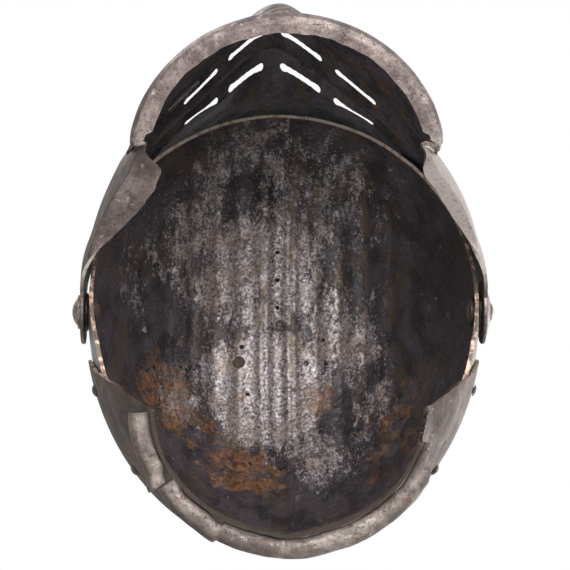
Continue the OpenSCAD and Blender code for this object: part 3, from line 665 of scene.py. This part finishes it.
nape_outer = nape_outer + (0.8 * low_share * ripple(nape_outer, 45, 11))[..., None] * nape_normal
nape = forged_plate("nape_plate_forged", nape_outer, nape_outer - nape_t * nape_normal,
                    [nape_steel, nape_inside, nape_edge])
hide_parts("nape_plate")
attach(nape, "helmet")

# The neck rims. Strips of sheet rolled into an open channel lie along the lower edge of the nape
# plate. The long one runs round the back, broken once and torn to a taper at the wearer's left, and
# a short torn length is left at the right.
rim_t = 1.3
roll_from, roll_to = 150, 405


def rolled_rim(v, a, r):
    """A channel carried along the neck outline: at share v of the way round, a point at angle a on a
    circle of radius r about a line that runs outside the plate by the rim's own radius."""
    step = 1 / nape_columns
    run = neck_plan(np.minimum(1, v + step)) - neck_plan(np.maximum(0, v - step))
    out = np.stack([run[..., 1], -run[..., 0]], -1) / np.linalg.norm(run, axis=-1, keepdims=True)
    xy = neck_plan(v) + out * (rim_r + lap + r * np.cos(a))[..., None]
    return np.concatenate([xy, (-neck_drop + rim_r / 2 + r * np.sin(a))[..., None]], -1)


# The rim's darker skin on the side facing the wearer's right is painted shade.
rim_steel = worn_outside("mottled_rim_steel", "8E837D", "564D49", "664E40", metallic=0.6, side_shade=0.75)
edge_steel = bare_edge("dull_plate_edge", "75685F", "40342E", [([0, 80, -100], 90, 0.5, 1)])
roll_middle, roll_half = math.radians((roll_from + roll_to) / 2), math.radians((roll_to - roll_from) / 2)
for name, node, start, end, stations in (("rolled_rim_rear", "neck_rim_rear", 0.083, 0.815, 240),
                                         ("rolled_rim_right", "neck_rim_right", 0.818, 0.994, 70)):
    v = np.linspace(end, start, stations)[:, None]
    a = np.radians(np.linspace(roll_from, roll_to, 34))[None, :]
    v, a = np.broadcast_arrays(v, a)
    left_over = 0.3 + 0.7 * smooth((v - 0.09) / 0.12) + 0.06 * np.sin(310 * v) * (v < 0.2)
    left_over = left_over * (1 - 0.12 * smooth((v - 0.985) / 0.01))
    left_over = left_over + 0.03 * np.sin(150 * v + 1) * np.sin(61 * v)
    bent_under = math.radians(70) * (1 - smooth((v - 0.09) / 0.13))
    a = roll_middle + (a - roll_middle) * left_over - bent_under
    rim_outer = rolled_rim(v, a, np.full(v.shape, rim_r))
    rim_inner = rolled_rim(v, a, np.full(v.shape, rim_r - rim_t))
    flare = 2.2 * smooth((0.86 - v) / 0.04) * (v > 0.816) - 1.2 * smooth((v - 0.76) / 0.04) * (v < 0.816)
    flare = flare + 1.5 * smooth((v - 0.652) / 0.004) * (1 - smooth((v - 0.66) / 0.05))
    edge = np.clip(np.abs(a - roll_middle) / roll_half, 0, 1) ** 6
    knock = 0.6 * ripple(rim_outer, 26, 21)[..., None] * normals_of(rim_outer)
    knock = knock + (0.7 * edge * ripple(rim_outer, 9, 22))[..., None] * [0, 0, 1]
    out_way = np.stack([np.cos(math.pi * v) * 1.3, np.sin(math.pi * v), 0 * v], -1)
    knock = knock + flare[..., None] * out_way
    rim = forged_plate(name, rim_outer + knock, rim_inner + knock, [rim_steel, nape_inside, edge_steel])
    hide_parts(node)
    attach(rim, "helmet")

# The visor. One thicker plate was folded over an anvil edge into the stepped bellows of a face box,
# with two rows of sight slots cut through its treads, and its lower border was turned under.
# It was knocked out of true: prow to the wearer's right, left arm root in. Two arms run to the ears.
visor_r, visor_t, top_angle, hug_steps = 135.4, 1.8, 40, (0, 6.5, 13)
box_half, arm_half, lip_half, lip_centre, apex_r = 80.0, 106.4, 80.4, -75.0, 10.0
lip_reach, lip_drop, lip_turn, arm_turn_right, arm_turn_left = 150.0, 78.0, 11.0, 17.0, 8.0
arm_end_r, eye_out, eye_t = 17.0, 106.8, 2.2
turn_shares, turn_drops = (0.2, 0.55, 1), (4, 5, 4.6)
fold_a = visor_r * np.array([-math.cos(math.radians(27)), math.sin(math.radians(27))])
fold_b, fold_c = np.array([-147.0, 49.0]), np.array([-146.5, 39.0])
fold_d, fold_e, band = np.array([-165.5, 27.0]), np.array([-165.0, 9.0]), np.array([-153.0, -45.0])
slot_length, slot_round, slot_half_deep = 20.5, 1.5, 1.3 * math.hypot(1, 0.88)
slot_starts = (4.5, 31.5)
bridge_run, arm_run = 6, 60
prow_knock, root_knock, corner_bend = 5.2, 3.8, 8


def on_line(a, b, t):
    """The point at share t of the way from a to b."""
    return a + (b - a) * t


def bellows_profile():
    """The middle line of the face box from the first slotted tread to the lip: for each row its reach
    and height, the slope of its V in plan, and its share of the round plan of the lip."""
    rows = []
    share = slot_half_deep / (fold_a[0] - fold_b[0])
    rows += [(*on_line(fold_a, fold_b, t), 0.85, 0) for t in (0.6 - share, 0.6 + share)]
    rows += [(*fold_b, 0.88, 0), (*fold_c, 0.88, 0)]
    share = 0.75 * slot_half_deep / (fold_c[0] - fold_d[0])
    rows += [(*on_line(fold_c, fold_d, t), 0.88 + 0.15 * t, 0) for t in (0.34 - share, 0.34 + share)]
    rows += [(*fold_d, 1.03, 0), (*fold_e, 1.03, 0)]
    for k in range(3):
        for groove in (1, 0):
            t = (k + 1 - 0.62 * groove) / 3
            q = on_line(fold_e, band, t)
            rows.append((q[0] + 4 * groove, q[1], 1, 0.7 * t))
    return rows + [(-lip_reach - 1, -54, 1, 0.85), (-lip_reach - 0.5, -65, 1, 1),
                   (-lip_reach, 5 - lip_drop, 1, 1)]


profile = bellows_profile()
hug_rows, wall_rows = len(hug_steps), len(hug_steps) + len(profile)
visor_rows = wall_rows + len(turn_shares)
slotted_rows = (hug_rows, hug_rows + 4)


def face_height(z, x):
    """A row's height at x: it sinks by a tenth towards the ends of the box, late above the pivots."""
    return z * (1 - 0.1 * np.abs(x / box_half) ** (4 if z > 0 else 2))


def hug_point(row, x):
    """A row of the brow band, which hugs the skull: the ellipsoid about the pivots at that row's angle."""
    r = visor_r * np.sqrt(1 - (x / arm_half) ** 2)
    a = np.radians(top_angle - hug_steps[row] * (1 - 0.6 * smooth(np.abs(x) / box_half)))
    return np.stack([x + 0 * r, -r * np.cos(a), r * np.sin(a)], -1)


def wall_point(row, x):
    """A row of the bellows: a V in plan with a rounded prow, blended by its share into the half
    ellipse of the lip, and never deeper than 2 mm inside the brow band's ellipsoid."""
    reach, high, slope, share = row
    z = face_height(high, x)
    vee = reach + slope * (np.sqrt(x ** 2 + apex_r ** 2) - apex_r)
    half_round = lip_centre - (-reach + lip_centre) * np.sqrt(1 - (x / lip_half) ** 2)
    r = visor_r * np.sqrt(1 - (x / arm_half) ** 2) - 2
    y = np.minimum(vee + (half_round - vee) * share, -np.sqrt(np.maximum(0, r ** 2 - z ** 2)))
    return np.stack([x + 0 * y, y, z], -1)


def turned_point(k, x, width):
    """A row of the border that turns in under the lip: the last wall row drawn in by a share of the width."""
    w = width * turn_shares[k]
    q = wall_point(profile[-1], x)
    y = lip_centre + (q[..., 1] - lip_centre) * (lip_reach + lip_centre - w) / (lip_reach + lip_centre)
    return np.stack([x * (lip_half - w) / lip_half, y, q[..., 2] - turn_drops[k]], -1)


def arm_line(i, t, turn):
    """A row of the arm at share t of the way from the box to the flat eye at the pivot: a straight run
    in side view, laid on the ellipsoid in plan, with the lower rows turned inward by the border."""
    if i < hug_rows:
        start = hug_point(i, np.array(box_half + 2))
    else:
        middle = hug_point(hug_rows - 1, np.array(box_half))
        low = face_height(5 - lip_drop, box_half)
        if i < wall_rows:
            z = face_height(profile[i - hug_rows][1], box_half)
            t_down = max(0, (z - middle[2]) / (low - middle[2]))
            start = np.array([0, middle[1] + 1 + (-85 - middle[1] - 1) * math.sqrt(t_down), z])
        else:
            start = np.array([0, -85, low - 1.5 * (i - wall_rows + 1)])
    end = arm_end_r * np.array([0, -0.3, 0.8 * (1 - 2 * i / (visor_rows - 1))])
    q = start + (end - start) * t[..., None]
    r = np.hypot(q[..., 1], q[..., 2])
    on_eye = smooth((r - arm_end_r - 2) / 26)
    x = (eye_out - 0.2) * (1 - on_eye) + arm_half * np.sqrt(np.maximum(0, 1 - (r / visor_r) ** 2)) * on_eye
    k = i - wall_rows
    w = turn * turn_shares[k] if k >= 0 else 0 * t
    held = np.minimum(1, turn / 4)
    z = q[..., 2] + (held * 1.2 * (k + 1) - held * w * 0.1 if k >= 0 else 0)
    return np.stack([x - w, q[..., 1], z], -1)


def visor_row(i, c):
    """One row at column coordinate c: up to the box's half width it is x on the face, over the bridge
    run it turns the corner, and over the arm run it goes along the arm, whose lower corner was bent
    out at the root. On the wearer's left the root was knocked in, most at its lower rows, which
    leaves the end of the lip standing out. The arm's border narrows to nothing near the pivot."""
    k = np.abs(c)
    x = np.minimum(k, box_half)
    if i < hug_rows:
        face = hug_point(i, x)
    elif i < wall_rows:
        face = wall_point(profile[i - hug_rows], x)
    else:
        width = lip_turn * (1 + 0.025 * np.sin(0.23 * c) + 0.02 * np.sin(0.6 * c + 2))
        width = width + (0.5 - width) * smooth((x - box_half + 0.8) / 0.8)
        face = turned_point(i - wall_rows, x, width)
    t = np.clip((k - box_half - bridge_run) / arm_run, 0, 1)
    border = np.interp(t, [0, 0.06, 0.11, 0.16, 0.2, 0.28, 0.45, 0.6, 0.68, 0.76, 1],
                       [0, 0.08, 0.42, 0.86, 1, 1, 0.92, 0.45, 0.1, 0, 0])
    uneven = 0.07 * np.sin(0.35 * c + 1) + 0.05 * np.sin(0.9 * c) + 0.03 * np.sin(2.1 * c)
    border *= 1 + uneven * (1 - smooth((t - 0.35) / 0.2))
    turn = np.where(c < 0, arm_turn_right, arm_turn_left) * border
    arm = arm_line(i, t, turn)
    pushed = root_knock * np.where(c > 0, np.clip(1 - t / 0.4, 0, 1) ** 1.5, 0)
    pushed = pushed * (0.3 + 0.7 * smooth((i - hug_rows - 3) / (wall_rows - hug_rows - 4)))
    arm[..., 0] += corner_bend * (1 - smooth(t / 0.2)) * smooth((i - wall_rows + 5) / 5) - pushed
    face[..., 0] -= pushed * smooth((k - 62) / 20) * (i < wall_rows - 4)
    bridge = np.clip((k - box_half) / bridge_run, 0, 1)[..., None]
    point = face * (1 - bridge) + arm * bridge
    point[..., 0] *= np.sign(c)
    return point


def bellows_visor(r, c):
    """The visor at fractional row r and column c: a straight blend of the two rows beside r, averaged
    over a short way along the profile and round the box, which rounds every fold a little."""
    rows = np.stack([sum(visor_row(i, c + beside) for beside in (-1.5, 0, 1.5)) / 3
                     for i in range(visor_rows)])
    total = np.zeros(c.shape + (3,))
    for offset, weight in ((-0.16, 0.25), (0, 0.5), (0.16, 0.25)):
        at = np.clip(r + offset, 0, visor_rows - 1)
        for i in range(visor_rows):
            total += weight * np.clip(1 - np.abs(at - i), 0, 1)[..., None] * rows[i]
    return total


def slot_reach(r_at, c_at, way, first, last, low_row):
    """How far out a point lies in a slot, 1 on its outline, and how far past its straight part: a
    channel between first and last, a little narrower in the middle than at its round ends, with a
    wavy edge left by the file."""
    past_end = (c_at * way - np.clip(c_at * way, first, last)) / slot_round
    off_middle = np.abs(c_at * way - (first + last) / 2) / (slot_length / 2)
    half_width = 0.5 * (0.8 + 0.2 * smooth((off_middle - 0.5) / 0.4) + 0.04 * np.sin(2.1 * c_at))
    return np.hypot(past_end, (r_at - low_row - 0.5) / half_width), past_end


steps = [7, 7, 8, 6, 7, 6, 6, 6, 7, 8] + [5] * 6 + [6] * 3 + [7] * len(turn_shares)
r = np.concatenate([[0]] + [i + np.arange(1, n + 1) / n for i, n in enumerate(steps)])
round_end = np.linspace(math.asin(53 / lip_half), math.asin(box_half / lip_half), 30)
c = np.concatenate([np.arange(0, 52.6, 0.65), lip_half * np.sin(round_end),
                    box_half + np.linspace(0.75, bridge_run, 8),
                    box_half + bridge_run + np.linspace(0, arm_run, 50)[1:]])
c = np.concatenate([c[::-1], -c[1:]])
r, c = [grid.copy() for grid in np.meshgrid(r, c, indexing="ij")]
kept = np.ones((r.shape[0] - 1, r.shape[1] - 1), bool)
middle_r = (r[:-1, :-1] + r[1:, 1:]) / 2
middle_c = (c[:-1, :-1] + c[1:, 1:]) / 2

# A slot opens the cells whose middle lies in it, and the points round it move onto its outline.
for low_row in slotted_rows:
    for start in slot_starts:
        first, last = start + slot_round, start + slot_length - slot_round
        for way in (1, -1):
            opened = slot_reach(middle_r, middle_c, way, first, last, low_row)[0] < 1
            kept &= ~opened
            open_beside = np.zeros(r.shape, int)
            for di, dj in ((0, 0), (0, 1), (1, 0), (1, 1)):
                open_beside[di:di + opened.shape[0], dj:dj + opened.shape[1]] += opened
            far, past_end = slot_reach(r, c, way, first, last, low_row)
            far = np.maximum(far, 0.01)
            off_line = r - low_row - 0.5
            move = (open_beside > 0) & (open_beside < 4) & (np.abs(off_line) + np.abs(past_end) > 0.05)
            base = np.clip(c * way, first, last) * way
            c[move] = (base + (c - base) / far)[move]
            r[move] = (low_row + 0.5 + off_line / far)[move]

# The visor's darker skin on the side facing the wearer's right is painted shade.
visor_steel = worn_outside("aged_visor_steel", "80736F", "4F4543", "614838", metallic=0.6, side_shade=0.9,
                           # Painted highlight: lighter patches on the wearer's left arm.
                           highlit_places=[([88, -62, -45], 48, 0.5, 0.6), ([99, -30, -20], 34, 0.6, 0.6)])
visor_black = blackened_inside(
    "fire_black_visor_inside", [([-70, -95, -10], 40, 0.8, 0.3)], [([60, -120, 10], 60, 0.8, 0.35)],
    sound=0.07, oiled=0.06, dull=0.68)
# The visor's pale cut edges by the arms are partly wear and partly painted highlight.
visor_edge = bare_edge("pale_visor_edge", "CFC4BC", "8A7A70",
                       [([-90, -45, -35], 42, 0.4, 1), ([92, -45, -35], 42, 0.4, 1)])
visor_outer = bellows_visor(r, c)
x, high = visor_outer[..., 0], visor_outer[..., 2]
knocked = -prow_knock * np.exp(-((x + 5) / 40) ** 2) * smooth(high / 25) * (1 - smooth((high - 60) / 20))
visor_outer[..., 0] += knocked
visor_normal = normals_of(visor_outer)
away = smooth((np.linalg.norm(visor_outer[..., 1:], axis=-1) - 40) / 30)
visor_outer += (0.35 * away * ripple(visor_outer, 38, 31))[..., None] * visor_normal
in_slots = smooth((np.abs(c) - 2) / 2) * smooth((56 - np.abs(c)) / 3) * sum(
    smooth((1.1 - np.abs(r - low_row - 0.5)) / 0.5) for low_row in slotted_rows)

# The slots were cut at a slant, so their walls run toward a place far below the chin.
far_below = [-34, -14, -1200]
slant = visor_outer - far_below
slant /= np.linalg.norm(slant, axis=-1, keepdims=True)
through = slant * (visor_t / np.maximum(0.3, (slant * visor_normal).sum(-1)))[..., None]
depth = visor_t * visor_normal * (1 - in_slots)[..., None] + through * in_slots[..., None]
visor = forged_plate("bellows_visor", visor_outer, visor_outer - depth,
                     [visor_steel, visor_black, visor_edge], kept=kept, marks={"ridge": 0 * r})
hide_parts("visor")
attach(visor, "visor")

# The arm eyes. Each arm of the visor ends in a flat round eye with its corners filed off, cut from
# the same steel, which turns on the pivot pin outside the spacer washer.
def turned_ring(name, section, side, finish, steps=96):
    """A ring about the pivot line: a closed section of (distance along the line, distance from it) in
    millimetres, carried round the line in equal steps at one side of the head."""
    x, far = np.asarray(section, float).T[:, :, None]
    a = np.linspace(0, 2 * math.pi, steps + 1)[:-1]
    points = np.stack([side * x + 0 * a, far * np.cos(a), far * np.sin(a)], -1)
    ids = np.arange(points.shape[0] * steps).reshape(-1, steps)
    beside, after = np.roll(ids, -1, axis=1), np.roll(ids, -1, axis=0)
    quads = np.stack([ids, beside, np.roll(after, -1, axis=1), after], -1).reshape(-1, 4)
    mesh = bpy.data.meshes.new(name)
    mesh.from_pydata(stood(points.reshape(-1, 3)), [], quads if side > 0 else quads[:, ::-1])
    mesh.materials.append(finish)
    ring = bpy.data.objects.new(name, mesh)
    bpy.context.scene.collection.objects.link(ring)
    return ring


eye_in, eye_bore = eye_out - eye_t, 3.45
eye_flat, eye_corner = arm_end_r - 0.6, 0.5
eye_section = [(eye_in, eye_bore), (eye_in, eye_flat), (eye_in + eye_corner, arm_end_r),
               (eye_out - eye_corner, arm_end_r), (eye_out, eye_flat), (eye_out, eye_bore)]
for name, side in (("arm_eye_left", 1), ("arm_eye_right", -1)):
    arm_eye = turned_ring(name, eye_section, side, visor_steel)
    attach(arm_eye, "visor")

# The small fittings. Iron pins, washers and a domed rosette hold the visor at the ears, round-headed
# rivets the nape plate, a plug closes a hole in the crown, and a spring leaf with its stud is the
# visor's catch. They keep their CAD shapes and get the brown skin of old iron.
rivet_iron = worn_outside("rusted_rivet_iron", "574A42", "2E2623", "6E4426", metallic=0.5)
pivot_steel = worn_outside("worn_pivot_steel", "77695F", "4A3E38", "7A4E32", metallic=0.6)
rosette_steel = worn_outside("worn_rosette_steel", "8A7E76", "5A4F49", "70503C", metallic=0.65)
leaf_steel = worn_outside("dull_spring_steel", "8E8880", "5E5650", "75553E", metallic=0.8)
plug_rust = worn_outside("brown_rust_plug", "523828", "34241A", "6E4A2C", metallic=0.15)
dressed = {
    "pivot_pin_right": pivot_steel, "pivot_pin_left": pivot_steel, "pivot_rosette_left": rosette_steel,
    "pivot_burr_right": rivet_iron, "pivot_burr_left": rivet_iron, "spacer_washer_right": rivet_iron,
    "spacer_washer_left": rivet_iron, "nape_rivets_right": rivet_iron, "nape_rivets_left": rivet_iron,
    "crown_plug": plug_rust, "catch_rivet": rivet_iron, "catch_stud": rivet_iron,
    "catch_leaf": leaf_steel}
for name, finish in dressed.items():
    for slot in frame["nodes"][name].material_slots:
        slot.material = finish
